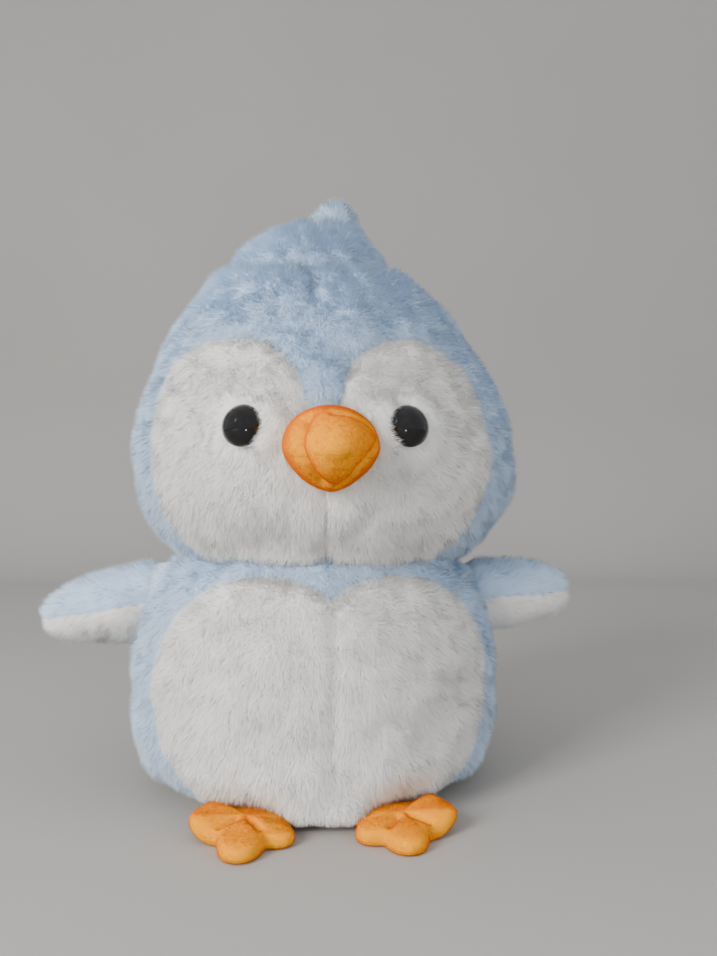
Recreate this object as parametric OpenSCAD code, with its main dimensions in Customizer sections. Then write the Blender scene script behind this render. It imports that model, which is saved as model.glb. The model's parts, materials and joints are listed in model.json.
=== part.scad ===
// Plush penguin: cut and sewn fur panels over fibre stuffing, with safety eyes and a velboa beak and feet.
// Millimetres. +Z is up, the face looks along -Y and the base rests on z = 0, with the origin under the body.
// Left and right are as someone facing the toy sees them, so left is -X.

/* [Head] */
// Width of the head at its widest line
head_w = 210; // [200:1:216]
// Depth of the head, front to back
head_d = 172; // [160:1:180]
// Height of the head's widest line
head_mid_z = 178; // [174:1:182]
// Height that the dome of the head closes at, under the crest
dome_z = 308; // [304:1:312]
// How far the top of the dome leans to the left
head_lean = 12; // [0:1:14]
// How far the head sits to the right of the body
head_x = 5; // [0:0.5:7]

/* [Body] */
// Width of the body at its widest line
body_w = 199; // [190:1:205]
// Depth of the body, front to back
body_d = 168; // [155:1:175]
// Height of the body's widest line
body_mid_z = 62; // [58:1:66]
// Turn of the body's skin and flippers against the head, in degrees
body_turn = 6; // [-8:1:8]

/* [Face and belly] */
// Turn from the nose line to the middle of each lobe of the face, in degrees
face_lobe_turn = 31; // [28:1:34]
// Height of the top of the face's lobes
face_top_z = 233.5; // [225:0.5:240]
// Turn from the middle to the widest part of the belly, in degrees
belly_half_turn = 62; // [52:1:68]
// Height of the notch between the belly's lobes
belly_notch_z = 103; // [96:1:106]

/* [Eyes] */
// Diameter of the eye's dome
eye_d = 20; // [16:1:22]
// Turn from the nose line to each eye, in degrees
eye_turn = 21.5; // [20:0.5:26]
// Height of the eyes
eye_z = 187; // [180:1:194]

/* [Beak] */
// Width of the beak
beak_w = 45; // [38:1:50]
// Height of the middle of the beak
beak_z = 177; // [173:1:181]
// How far the beak stands out of the face
beak_reach = 33; // [26:1:36]

/* [Flippers] */
// Distance from the body's middle to a flipper's tip
flipper_reach = 150; // [140:1:156]
// Width of a flipper, front to back
flipper_chord = 43; // [36:1:46]
// Thickness of a flipper
flipper_thick = 40; // [34:1:42]
// How far the left flipper droops, in degrees
left_droop = 9; // [0:1:14]

/* [Feet] */
// Reach of the middle toe from the middle of the foot
toe_reach = 26; // [24:1:30]
// Thickness of a foot at its heel
foot_thick = 15; // [12:1:17]
// Turn of each foot outwards, in degrees
foot_splay = 18; // [6:1:24]
// Distance of the left foot's middle from the middle of the body
foot_left_x = 32; // [30:1:38]
// Distance of the right foot's middle from the middle of the body
foot_right_x = 38; // [34:1:40]

/* [Sewing] */
// Thickness of the fur cloth
cloth = 2; // [1.5:0.1:2.5]
// Room left round the stuffing
stuffing_gap = 1.2; // [1:0.1:1.5]

/* [Hidden] */

BLUE = "lightsteelblue";
WHITE = "ivory";
ORANGE = "orange";
BLACK = "black";
FIBRE = "whitesmoke";

LEFT = -1;
RIGHT = 1;

// The head and the body are stacks of ellipses. These powers shape the curve of each stack.
DOME_POWER = 1.58;
JOWL_POWER = 2.8;
SHOULDER_POWER = 2.4;
HIP_POWER = 4.3;
LEAN_POWER = 1.5;
jowl_h = 64;
shoulder_h = 78;
hip_h = 65;
dome_h = dome_z - head_mid_z;

// The neck is the soft zone between the body's cut edge and the head's.
neck_low_z = 117;
neck_crease_z = 122;
neck_high_z = 130;
crease_w = 150;
neck_gap = 0.4;

crest_seam_z = 284;
crest_seam_dip = 7;
crest_gap = 0.3;
// The crest above the dome, as height, middle and half-width: it narrows to a tuft that stands up.
CREST = [
    [294, -8, 34.5], [302, -3.2, 24], [308, 3.2, 15.5], [313, 5.2, 12.5], [317.5, 5.8, 9.5], [320, 5.8, 4.5]
];
CREST_ROUNDNESS = 0.88;

face_side_turn = 56;
face_low_turn = 52;
face_lobe_h = 28.7;
face_lobe_z = face_top_z - face_lobe_h;
bridge_turn = 6;
bridge_low_z = 185;
// The forehead's blue strip ends here, behind the top of the beak.
bridge_end_z = 190;
belly_wide_z = 58;
belly_top_z = 115.5;
belly_low_h = 72;
belly_lobe_turn = 24;
BELLY_TOP_POWER = 2.3;
BELLY_LOW_POWER = 1.8;
base_rim_z = 9;
back_turn = 110;

FINE = 72;
TURN_STEP = 10;
// The least that a ring shrinks to where the cloth is thicker than the ring is wide
SMALLEST = 0.2;

// The half-width of a rounded stack at the fraction t of its height.
function stack(t, power) = pow(max(0, 1 - pow(abs(t), power)), 1 / power);

function turned(point, angle) = [
    point[0] * cos(angle) - point[1] * sin(angle),
    point[0] * sin(angle) + point[1] * cos(angle),
    point[2]
];

// A point on an ellipse, the angle phi round from the front, moved in by inset.
function ring_point(phi, half_w, half_d, inset) =
    let (across = half_w * sin(phi), ahead = half_d * cos(phi), reach = norm([across, ahead]))
    let (kept = max(SMALLEST, 1 - inset / reach))
    [across * kept, -ahead * kept];

function head_size(z) = z > head_mid_z
    ? stack((z - head_mid_z) / dome_h, DOME_POWER)
    : stack((head_mid_z - z) / jowl_h, JOWL_POWER);

function head_middle(z) = head_x - head_lean * pow(max(0, z - head_mid_z) / dome_h, LEAN_POWER);

function lowered(z, middle, half, inset) = z - inset * (z - middle) / half;

function head_point(phi, z, inset = 0) =
    let (size = head_size(z), p = ring_point(phi, size * head_w / 2, size * head_d / 2, inset))
    [head_middle(z) + p[0], p[1], lowered(z, head_mid_z, dome_h, inset)];

function body_size(z) = z > body_mid_z
    ? stack((z - body_mid_z) / shoulder_h, SHOULDER_POWER)
    : stack((body_mid_z - z) / hip_h, HIP_POWER);

function body_point(phi, z, inset = 0) =
    let (size = body_size(z), p = ring_point(phi, size * body_w / 2, size * body_d / 2, inset))
    turned([p[0], p[1], z], body_turn);

crest_seam = function (phi) crest_seam_z - crest_seam_dip * cos(phi);

// Row 0 is the seam with the head, and the rows above it are those of CREST.
function crest_point(phi, row, inset = 0) = row == 0
    ? head_point(phi, crest_seam(phi) + crest_gap, inset)
    : let (r = CREST[row - 1], p = ring_point(phi, r[2], r[2] * CREST_ROUNDNESS, inset))
      [head_x + r[1] + p[0], p[1], lowered(r[0], head_mid_z, dome_h, inset)];

function mixed(a, b, t) = a + (b - a) * t;

// A closed sheet of cloth between an outer and an inner grid of points. A wrapped sheet joins its
// last column to its first, and a flipped one is the mirror image of the order that the grids expect.
module sheet(outer, inner, wrapped = false, flipped = false) {
    rows = len(outer);
    cols = len(outer[0]);
    last = wrapped ? cols - 1 : cols - 2;
    function at(i, j) = i * cols + j % cols;
    function under(i, j) = rows * cols + at(i, j);
    quads = concat(
        [for (i = [0:rows - 2], j = [0:last]) [at(i, j), at(i + 1, j), at(i + 1, j + 1), at(i, j + 1)]],
        [for (i = [0:rows - 2], j = [0:last])
            [under(i, j), under(i, j + 1), under(i + 1, j + 1), under(i + 1, j)]],
        [for (j = [0:last]) [at(0, j), at(0, j + 1), under(0, j + 1), under(0, j)]],
        [for (j = [0:last])
            [at(rows - 1, j), under(rows - 1, j), under(rows - 1, j + 1), at(rows - 1, j + 1)]],
        wrapped ? [] : [for (i = [0:rows - 2]) [at(i, 0), under(i, 0), under(i + 1, 0), at(i + 1, 0)]],
        wrapped ? [] : [for (i = [0:rows - 2])
            [at(i, cols - 1), at(i + 1, cols - 1), under(i + 1, cols - 1), under(i, cols - 1)]]
    );
    triangles = [for (q = quads) each [[q[0], q[1], q[2]], [q[0], q[2], q[3]]]];
    polyhedron(
        points = concat([for (row = outer) each row], [for (row = inner) each row]),
        faces = flipped ? [for (t = triangles) [t[2], t[1], t[0]]] : triangles
    );
}

function middle_of(ring) = [for (axis = [0:2]) let (values = [for (p = ring) p[axis]])
    (min(values) + max(values)) / 2];

// A closed solid through a stack of rings, given from its low end to its high end.
module loft(rings) {
    count = len(rings[0]);
    top = len(rings) - 1;
    low_middle = count * (top + 1);
    function at(i, j) = i * count + j % count;
    sides = [for (i = [0:top - 1], j = [0:count - 1])
        each [[at(i, j), at(i + 1, j), at(i + 1, j + 1)], [at(i, j), at(i + 1, j + 1), at(i, j + 1)]]];
    caps = [for (j = [0:count - 1])
        each [[low_middle, at(0, j), at(0, j + 1)], [low_middle + 1, at(top, j + 1), at(top, j)]]];
    polyhedron(
        points = concat([for (ring = rings) each ring], [middle_of(rings[0]), middle_of(rings[top])]),
        faces = concat(sides, caps)
    );
}

// ---- Face and belly outlines: the turn from the middle to each panel's inner and outer edge ----

function lobe_span(z) = (face_side_turn - face_lobe_turn) * stack((z - face_lobe_z) / face_lobe_h, 2);

face_inner = function (z) z > face_lobe_z
    ? face_lobe_turn - lobe_span(z)
    : bridge_turn * max(0, min(1, (z - bridge_low_z) / (face_lobe_z - bridge_low_z)));

face_outer = function (z) z > face_lobe_z
    ? face_lobe_turn + lobe_span(z)
    : mixed(face_low_turn, face_side_turn, (z - neck_high_z) / (face_lobe_z - neck_high_z));

belly_inner = function (z) belly_lobe_turn
    * (1 - stack(max(0, z - belly_notch_z) / (belly_top_z - belly_notch_z), 2));

// The outer edge meets the inner one at the top of the lobe.
belly_outer = function (z) z > belly_wide_z
    ? mixed(belly_lobe_turn, belly_half_turn,
        stack((z - belly_wide_z) / (belly_top_z - belly_wide_z), BELLY_TOP_POWER))
    : belly_half_turn * stack((belly_wide_z - z) / belly_low_h, BELLY_LOW_POWER);

// Heights from low to high that crowd towards the top, where the lobes close.
LOBE_STEPS = 14;
function lobe_heights(low, high) = [for (i = [0:LOBE_STEPS]) low + (high - low) * sin(90 * i / LOBE_STEPS)];
FACE_HEIGHTS = lobe_heights(neck_high_z, face_top_z);
BELLY_HEIGHTS = lobe_heights(base_rim_z, belly_top_z);
PANEL_COLUMNS = 6;

function surface_point(part, phi, z, inset) =
    part == "head" ? head_point(phi, z, inset) : body_point(phi, z, inset);

function panel_grid(part, side, heights, inner, outer, inset) = [
    for (z = heights) [
        for (j = [0:PANEL_COLUMNS])
            surface_point(part, side * mixed(inner(z), outer(z), j / PANEL_COLUMNS), z, inset)
    ]
];

module lobe_panel(part, side, heights, inner, outer) {
    sheet(
        panel_grid(part, side, heights, inner, outer, 0),
        panel_grid(part, side, heights, inner, outer, cloth),
        flipped = side == LEFT
    );
}

// The outline that a side panel shares with its lobe: up the inner edge and down the outer one.
function lobe_outline(heights, notch_z, inner, outer) = concat(
    [for (z = heights) if (z >= notch_z) [inner(z), z]],
    [for (i = [len(heights) - 2:-1:0]) [outer(heights[i]), heights[i]]]
);

// The far outline of a side panel: along its top edge, then down its back seam.
function far_outline(count, corner, top, low_z) = [
    for (i = [0:count - 1])
        i <= corner
            ? [back_turn * i / corner, top(back_turn * i / corner)]
            : [back_turn, mixed(top(back_turn), low_z, (i - corner) / (count - 1 - corner))]
];

SIDE_ROWS = 6;
HEAD_TOP_STEPS = 9;
BODY_TOP_STEPS = 7;

function side_grid(part, side, near, far, inset) = [
    for (i = [0:SIDE_ROWS]) [
        for (j = [0:len(near) - 1])
            let (p = mixed(near[j], far[j], i / SIDE_ROWS))
            surface_point(part, side * p[0], p[1], inset)
    ]
];

module side_panel(part, side, near, far) {
    sheet(
        side_grid(part, side, near, far, 0),
        side_grid(part, side, near, far, cloth),
        flipped = side == LEFT
    );
}

BACK_ROWS = 12;
BACK_COLUMNS = 7;

function back_grid(part, side, low_z, top, inset) = [
    for (i = [0:BACK_ROWS]) [
        for (j = [0:BACK_COLUMNS])
            let (phi = mixed(back_turn, 180, j / BACK_COLUMNS))
            surface_point(part, side * phi, mixed(low_z, top(phi), i / BACK_ROWS), inset)
    ]
];

module back_panel(part, side, low_z, top) {
    sheet(
        back_grid(part, side, low_z, top, 0),
        back_grid(part, side, low_z, top, cloth),
        flipped = side == LEFT
    );
}

// ---- Head skin ----

function head_far(count) = far_outline(count, HEAD_TOP_STEPS, crest_seam, neck_high_z);
FACE_OUTLINE = lobe_outline(FACE_HEIGHTS, bridge_end_z, face_inner, face_outer);

module face_panel(side) {
    color(WHITE)
        difference() {
            lobe_panel("head", side, FACE_HEIGHTS, face_inner, face_outer);
            at_eye(side) translate([0, 0, -shank_l]) cylinder(r = rib_r, h = shank_l + eye_r, $fn = FINE);
        }
}

module face_left() { face_panel(LEFT); }
module face_right() { face_panel(RIGHT); }

// The blue of the forehead runs down between the lobes, so its outline starts on the middle line.
module head_side(side) {
    near = concat([[0, FACE_OUTLINE[0][1]]], FACE_OUTLINE);
    color(BLUE) side_panel("head", side, near, head_far(len(near)));
}

module head_side_left() { head_side(LEFT); }
module head_side_right() { head_side(RIGHT); }

module head_back_left() { color(BLUE) back_panel("head", LEFT, neck_high_z, crest_seam); }
module head_back_right() { color(BLUE) back_panel("head", RIGHT, neck_high_z, crest_seam); }

// ---- Crest ----

function crest_grid(start, inset) = [
    for (row = [0:len(CREST)]) [for (phi = [start:TURN_STEP:start + 180]) crest_point(phi, row, inset)]
];

module crest_half(start) {
    color(BLUE) sheet(crest_grid(start, 0), crest_grid(start, cloth));
}

module crest_front() { crest_half(-90); }
module crest_back() { crest_half(90); }

// ---- Eyes: a domed head on a ribbed shank, held behind the cloth by a push-on washer ----

eye_r = eye_d / 2;
eye_rim_h = 0.9;
eye_sphere_r = eye_r * 1.12;
eye_seat = 0.9;
eye_tilt = 8;
shank_r = 2;
shank_l = 16;
rib_r = 2.3;
rib_h = 0.8;
RIBS = [2, 4.5, 7];
washer_r = 8.5;
washer_t = 1.6;
washer_depth = 4.5;
washer_fit = 0.05;
hub_r = 3.6;
hub_h = 1.2;

// Puts children on the face at an eye, with +Z pointing out of the face.
module at_eye(side) {
    place = head_point(side * eye_turn, eye_z);
    facing = atan(tan(eye_turn) * head_d / head_w);
    translate(place) rotate([90 - eye_tilt, 0, side * facing]) translate([0, 0, eye_seat]) children();
}

module eye(side) {
    sunk = sqrt(eye_sphere_r * eye_sphere_r - eye_r * eye_r);
    color(BLACK) at_eye(side) union() {
        intersection() {
            translate([0, 0, eye_rim_h - sunk]) sphere(r = eye_sphere_r, $fn = FINE);
            cylinder(r = eye_r, h = eye_d, $fn = FINE);
        }
        translate([0, 0, -shank_l]) cylinder(r = shank_r, h = shank_l + 1, $fn = FINE);
        for (rib = RIBS)
            translate([0, 0, rib - shank_l]) cylinder(r = rib_r, h = rib_h, $fn = FINE);
    }
}

module eye_left() { eye(LEFT); }
module eye_right() { eye(RIGHT); }

module eye_washer(side) {
    color("gray") at_eye(side) translate([0, 0, -washer_depth - washer_t]) difference() {
        union() {
            cylinder(r = washer_r, h = washer_t, $fn = FINE);
            translate([0, 0, -hub_h]) cylinder(r = hub_r, h = hub_h + washer_t / 2, $fn = FINE);
        }
        translate([0, 0, -2 * hub_h]) cylinder(r = shank_r + washer_fit, h = washer_t + 3 * hub_h, $fn = FINE);
    }
}

module eye_washer_left() { eye_washer(LEFT); }
module eye_washer_right() { eye_washer(RIGHT); }

// ---- Beak: two short domes that meet at the mouth, the upper one longer and drooping over the lower ----

beak_top_h = 19;
beak_low_h = 18;
beak_gap = 0.6;
lower_reach = 0.8;
beak_droop = 5;
beak_shift = 2;
BEAK_ROWS = 7;
BEAK_STEP = 15;
// The domes stop just short of a point at the tip.
BEAK_END = 86;
// Where the stuffing starts, clear of the face, as a fraction of the way to the tip
BEAK_FILL_START = 0.05;

// How far forward the face stands at a place on it.
function face_front(x, z) =
    let (size = head_size(z), across = (x - head_middle(z)) / (size * head_w / 2))
    size * head_d / 2 * sqrt(max(0, 1 - across * across));

// theta runs round the beak from its right corner, and s from the face, 0, to the tip, 1.
function beak_point(theta, s, reach, inset = 0) =
    let (
        half_h = (sin(theta) > 0 ? beak_top_h : beak_low_h) - inset,
        across = cos(BEAK_END * s),
        ahead = sin(BEAK_END * s),
        x = head_x + beak_shift + (beak_w / 2 - inset) * cos(theta) * across,
        z = beak_z + half_h * sin(theta) * across
    )
    [x, -face_front(x, z) - beak_gap - (beak_reach * reach - inset) * ahead, z - beak_droop * s * s];

function beak_grid(start, reach, inset) = [
    for (i = [0:BEAK_ROWS])
        [for (theta = [start:BEAK_STEP:start + 180]) beak_point(theta, i / BEAK_ROWS, reach, inset)]
];

module beak_half(start, reach) {
    color(ORANGE) sheet(beak_grid(start, reach, 0), beak_grid(start, reach, cloth), flipped = true);
}

module beak_upper() { beak_half(0, 1); }
module beak_lower() { beak_half(180, lower_reach); }

module beak_stuffing() {
    inset = cloth + stuffing_gap;
    color(FIBRE) loft([
        for (i = [0:BEAK_ROWS])
            let (s = mixed(BEAK_FILL_START, 1, i / BEAK_ROWS))
            [for (theta = [360:-BEAK_STEP:BEAK_STEP]) beak_point(theta, s, lower_reach, inset)]
    ]);
}

// ---- Head stuffing, with room for the eyes' shanks and washers ----

HEAD_RINGS = 16;
eye_room = 0.5;
shank_room = 2;

module head_stuffing() {
    inset = cloth + stuffing_gap;
    low = neck_high_z + 1;
    color(FIBRE) difference() {
        loft(concat(
            [for (i = [0:HEAD_RINGS]) [for (phi = [0:TURN_STEP:359])
                head_point(phi, mixed(low, crest_seam_z, i / HEAD_RINGS), inset)]],
            [for (row = [1:len(CREST) - 1]) [for (phi = [0:TURN_STEP:359]) crest_point(phi, row, inset)]]
        ));
        for (side = [LEFT, RIGHT]) at_eye(side) {
            translate([0, 0, -washer_depth - washer_t - eye_room])
                cylinder(r = washer_r + eye_room, h = washer_depth + eye_r, $fn = FINE);
            translate([0, 0, -shank_l - eye_room]) cylinder(r = shank_r + shank_room, h = shank_l, $fn = FINE);
        }
    }
}

// ---- Neck: the gathered seam where the head's skin meets the body's, and the stuffing inside it ----

neck_wall = 4;
neck_inset = 1;
neck_low = neck_low_z + neck_gap;
neck_high = neck_high_z - neck_gap;

function crease_point(phi, inset) =
    let (p = ring_point(phi, crease_w / 2, crease_w / 2 * body_d / body_w, inset))
    [head_x / 2 + p[0], p[1], neck_crease_z];

function neck_ring(phi_step, row, inset) = [
    for (phi = [0:phi_step:359])
        row == 0 ? [each [for (k = [0:1]) body_point(phi, neck_low_z, inset)[k]], neck_low]
        : row == 1 ? crease_point(phi, inset)
        : [each [for (k = [0:1]) head_point(phi, neck_high_z, inset)[k]], neck_high]
];

module neck_seam() {
    color(BLUE) sheet(
        [for (row = [0:2]) neck_ring(TURN_STEP, row, neck_inset)],
        [for (row = [0:2]) neck_ring(TURN_STEP, row, neck_inset + neck_wall)],
        wrapped = true
    );
}

module neck_stuffing() {
    inset = neck_inset + neck_wall + stuffing_gap;
    color(FIBRE) loft([for (row = [0:2]) neck_ring(TURN_STEP, row, inset)]);
}

// ---- Body skin ----

BELLY_OUTLINE = lobe_outline(BELLY_HEIGHTS, belly_notch_z, belly_inner, belly_outer);
body_top = function (phi) neck_low_z;

module belly_left() { color(WHITE) lobe_panel("body", LEFT, BELLY_HEIGHTS, belly_inner, belly_outer); }
module belly_right() { color(WHITE) lobe_panel("body", RIGHT, BELLY_HEIGHTS, belly_inner, belly_outer); }

// Between the lobes the two sides meet on the middle line of the chest.
module body_side(side) {
    near = concat([[0, BELLY_OUTLINE[0][1]]], BELLY_OUTLINE);
    color(BLUE) side_panel("body", side, near, far_outline(len(near), BODY_TOP_STEPS, body_top, base_rim_z));
}

module body_side_left() { body_side(LEFT); }
module body_side_right() { body_side(RIGHT); }

module body_back_left() { color(BLUE) back_panel("body", LEFT, base_rim_z, body_top); }
module body_back_right() { color(BLUE) back_panel("body", RIGHT, base_rim_z, body_top); }

// The base is a shallow dish: flat where it rests, with a rim that turns up to the body's panels.
BASE_OUTER = [0, 2, 5, base_rim_z - 0.3];
BASE_INNER = [base_rim_z - 0.3, 5, cloth];

module base_panel() {
    color(WHITE) loft(concat(
        [for (z = BASE_OUTER) [for (phi = [0:TURN_STEP:359]) body_point(phi, z)]],
        [for (z = BASE_INNER) [for (phi = [0:TURN_STEP:359]) body_point(phi, z, cloth)]]
    ));
}

BODY_RINGS = 12;

module body_stuffing() {
    inset = cloth + stuffing_gap;
    color(FIBRE) loft([
        for (i = [0:BODY_RINGS]) [for (phi = [0:TURN_STEP:359])
            body_point(phi, mixed(inset, neck_low_z - 1, i / BODY_RINGS), inset)]
    ]);
}

// ---- Flippers: a top and an under panel that meet at a seam round the edge ----

pivot_x = 96;
pivot_z = 98;
skin_gap = 17;
stuffing_root_gap = 5;
FLIPPER_ROWS = 8;
FLIPPER_STEP = 18;

// The body's half-width at a height and a distance behind its middle.
function body_half_width(y, z) =
    let (size = body_size(z), ahead = y / (size * body_d / 2))
    size * body_w / 2 * sqrt(max(0, 1 - ahead * ahead));

function flipper_size(s) = sqrt(max(0.01, 1 - pow(s, 3)));

// theta runs round a flipper from its front edge over its top, and s from its root, 0, to its tip, 1.
// The root follows the body's side at the distance gap.
function flipper_point(theta, s, gap, inset = 0) =
    let (
        half_chord = flipper_chord / 2 - inset,
        half_thick = flipper_thick / 2 - inset,
        y = -half_chord * cos(theta),
        z = half_thick * sin(theta),
        root = body_half_width(y, pivot_z + z) + gap
    )
    [mixed(root, flipper_reach - inset, s), y * flipper_size(s), pivot_z + z * flipper_size(s)];

function flipper_grid(start, gap, inset) = [
    for (i = [0:FLIPPER_ROWS])
        [for (theta = [start:FLIPPER_STEP:start + 180])
            flipper_point(theta, sin(90 * i / FLIPPER_ROWS), gap, inset)]
];

// Places children, drawn on the right, on either side of the body.
module on_side(side) {
    droop = side == LEFT ? left_droop : 0;
    rotate([0, 0, body_turn]) mirror([side == LEFT ? 1 : 0, 0, 0])
        translate([pivot_x, 0, pivot_z]) rotate([0, droop, 0]) translate([-pivot_x, 0, -pivot_z])
            children();
}

module flipper_panel(side, start, paint) {
    color(paint) on_side(side)
        sheet(flipper_grid(start, skin_gap, 0), flipper_grid(start, skin_gap, cloth), flipped = true);
}

module flipper_left_top() { flipper_panel(LEFT, 0, BLUE); }
module flipper_left_under() { flipper_panel(LEFT, 180, WHITE); }
module flipper_right_top() { flipper_panel(RIGHT, 0, BLUE); }
module flipper_right_under() { flipper_panel(RIGHT, 180, WHITE); }

module flipper_stuffing(side) {
    inset = cloth + stuffing_gap;
    color(FIBRE) on_side(side) loft([
        for (i = [0:FLIPPER_ROWS]) [for (theta = [360:-FLIPPER_STEP:FLIPPER_STEP])
            flipper_point(theta, sin(90 * i / FLIPPER_ROWS), stuffing_root_gap, inset)]
    ]);
}

module flipper_left_stuffing() { flipper_stuffing(LEFT); }
module flipper_right_stuffing() { flipper_stuffing(RIGHT); }

// ---- Feet: three round toes, sewn under the front edge of the body ----

foot_y = -79;
heel_y = -76;
apex_y = -90;
sole_t = 2;
sole_size = 0.98;
seam_gap = 0.1;
toe_fall = 0.25;
TOE_TURN = 48;
TOE_SPAN = 72;
TOE_WAVE = 5;
FOOT_STEP = 8;
FOOT_ROWS = 6;
FOOT_POWER = 2.2;
// How far up its dome the foot's upper goes before it closes flat
FOOT_TOP = 0.97;

function foot_x(side) = side == LEFT ? foot_left_x : foot_right_x;

// The outline's reach from the middle of the foot, at an angle from the middle toe.
function foot_reach(theta) = abs(theta) < TOE_SPAN
    ? toe_reach - TOE_WAVE + TOE_WAVE * cos(theta * 360 / TOE_TURN)
    : toe_reach - 2 * TOE_WAVE;

// The outline of a foot on the ground, cut straight at its heel.
function foot_outline(side, theta, inset) =
    let (reach = foot_reach(theta) - inset, angle = theta + side * foot_splay)
    [side * foot_x(side) + reach * sin(angle), min(foot_y - reach * cos(angle), heel_y - inset)];

// A ring of the foot at height z, shrunk to size towards its apex. The toes lie lower than the instep.
function foot_ring(side, z, size, inset = 0) = [
    for (theta = [-180:FOOT_STEP:179])
        let (p = mixed([side * foot_x(side), apex_y], foot_outline(side, theta, inset), size))
        [p[0], p[1], z * (1 - toe_fall * max(0, cos(theta)) * size)]
];

// The upper is a low dome: its rings shrink towards the top of the foot.
function upper_rings(side, inset, steps) = [
    for (i = steps)
        let (t = FOOT_TOP * sin(90 * i / FOOT_ROWS))
        foot_ring(side, mixed(sole_t, foot_thick - inset, t), stack(t, FOOT_POWER), inset)
];

// The rings run down the inside of the upper and back up its outside.
module foot_upper(side) {
    color(ORANGE) loft(concat(
        upper_rings(side, cloth, [FOOT_ROWS:-1:0]),
        upper_rings(side, 0, [0:FOOT_ROWS])
    ));
}

module foot_sole(side) {
    color(ORANGE) loft([for (z = [0, sole_t - seam_gap]) foot_ring(side, z, sole_size)]);
}

module foot_stuffing(side) {
    inset = cloth + stuffing_gap;
    color(FIBRE) translate([0, 0, seam_gap]) loft(upper_rings(side, inset, [0:FOOT_ROWS]));
}

module foot_left_upper() { foot_upper(LEFT); }
module foot_left_sole() { foot_sole(LEFT); }
module foot_left_stuffing() { foot_stuffing(LEFT); }
module foot_right_upper() { foot_upper(RIGHT); }
module foot_right_sole() { foot_sole(RIGHT); }
module foot_right_stuffing() { foot_stuffing(RIGHT); }

face_left();
face_right();
head_side_left();
head_side_right();
head_back_left();
head_back_right();
crest_front();
crest_back();
eye_left();
eye_right();
eye_washer_left();
eye_washer_right();
beak_upper();
beak_lower();
beak_stuffing();
head_stuffing();
neck_seam();
neck_stuffing();
belly_left();
belly_right();
body_side_left();
body_side_right();
body_back_left();
body_back_right();
base_panel();
body_stuffing();
flipper_left_top();
flipper_left_under();
flipper_left_stuffing();
flipper_right_top();
flipper_right_under();
flipper_right_stuffing();
foot_left_upper();
foot_left_sole();
foot_left_stuffing();
foot_right_upper();
foot_right_sole();
foot_right_stuffing();
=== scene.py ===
# Plush penguin: cloth panels with a fur pile over stuffing, and domed eyes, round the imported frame.
# Metres, +Z up, the face looks along -Y. Turns round the head and body are in degrees from the front.
import json
import math

import bpy
import numpy as np
from mathutils import Matrix, Vector
from mathutils.kdtree import KDTree


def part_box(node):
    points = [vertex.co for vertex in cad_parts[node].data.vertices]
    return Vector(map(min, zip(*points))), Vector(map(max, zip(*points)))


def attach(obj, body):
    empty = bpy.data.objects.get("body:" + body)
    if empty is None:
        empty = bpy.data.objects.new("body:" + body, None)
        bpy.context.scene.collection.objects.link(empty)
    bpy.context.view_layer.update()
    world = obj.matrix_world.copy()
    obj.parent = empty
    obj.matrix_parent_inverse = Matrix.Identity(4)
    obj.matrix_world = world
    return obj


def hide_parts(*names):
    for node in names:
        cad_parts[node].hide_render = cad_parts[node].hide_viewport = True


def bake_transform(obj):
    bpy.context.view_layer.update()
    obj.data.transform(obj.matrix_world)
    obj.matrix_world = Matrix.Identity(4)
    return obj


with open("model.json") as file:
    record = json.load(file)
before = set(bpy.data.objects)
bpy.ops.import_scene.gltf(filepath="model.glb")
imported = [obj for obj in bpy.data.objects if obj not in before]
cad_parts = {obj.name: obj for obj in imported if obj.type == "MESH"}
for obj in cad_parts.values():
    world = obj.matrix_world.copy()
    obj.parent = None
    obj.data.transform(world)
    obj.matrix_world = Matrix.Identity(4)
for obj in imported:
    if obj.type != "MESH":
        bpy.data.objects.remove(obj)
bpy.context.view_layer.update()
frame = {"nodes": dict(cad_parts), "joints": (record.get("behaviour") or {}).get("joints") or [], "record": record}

MM = 0.001
LEFT, RIGHT = -1, 1
SIDES = {"left": LEFT, "right": RIGHT}
PIVOTS = {joint["name"]: Vector(joint["pos_m"]) for joint in frame["joints"]}

# ---- Driving sizes, the same as the frame's ----

head_low, head_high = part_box("head_side_left")[0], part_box("head_side_right")[1]
HEAD_W = head_high.x - head_low.x
HEAD_X = (head_high.x + head_low.x) / 2
HEAD_D = 2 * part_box("head_back_left")[1].y
HEAD_MID_Z = 178 * MM
DOME_H = 130 * MM
JOWL_H = 64 * MM
HEAD_LEAN = 12 * MM
# How square the head and the body are, above and below their widest levels
DOME_POWER, JOWL_POWER = 1.58, 2.8
SHOULDER_POWER, HIP_POWER = 2.4, 4.3
BODY_W = 199 * MM
BODY_D = 168 * MM
BODY_MID_Z = 62 * MM
SHOULDER_H = 78 * MM
HIP_H = 65 * MM
BODY_TURN = math.atan2(PIVOTS["flipper_right_lift"].y, PIVOTS["flipper_right_lift"].x)

NECK_Z = 122 * MM
NECK_LOW_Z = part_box("neck_seam")[0].z
NECK_HIGH_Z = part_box("neck_seam")[1].z
CREASE_W = 150 * MM
# The height of the crest's seam, and how far it dips at the front
CREST_SEAM_Z, CREST_SEAM_DIP = 284, 7
# The crest above its seam, as height, middle and half-width in millimetres
CREST = [(294, -8, 34.5), (302, -3.2, 24), (308, 3.2, 15.5),
         (313, 5.2, 12.5), (317.5, 5.8, 9.5), (320, 5.8, 4.5)]
CREST_ROUNDNESS = 0.88

FACE_TOP_Z = 233.5 * MM
# How much further round the left lobe of the face reaches than the right one, in degrees
LEFT_CHEEK = 4
FACE_LOBE_H = 28.7 * MM
FACE_LOBE_Z = FACE_TOP_Z - FACE_LOBE_H
BRIDGE_LOW_Z = 185 * MM
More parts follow.
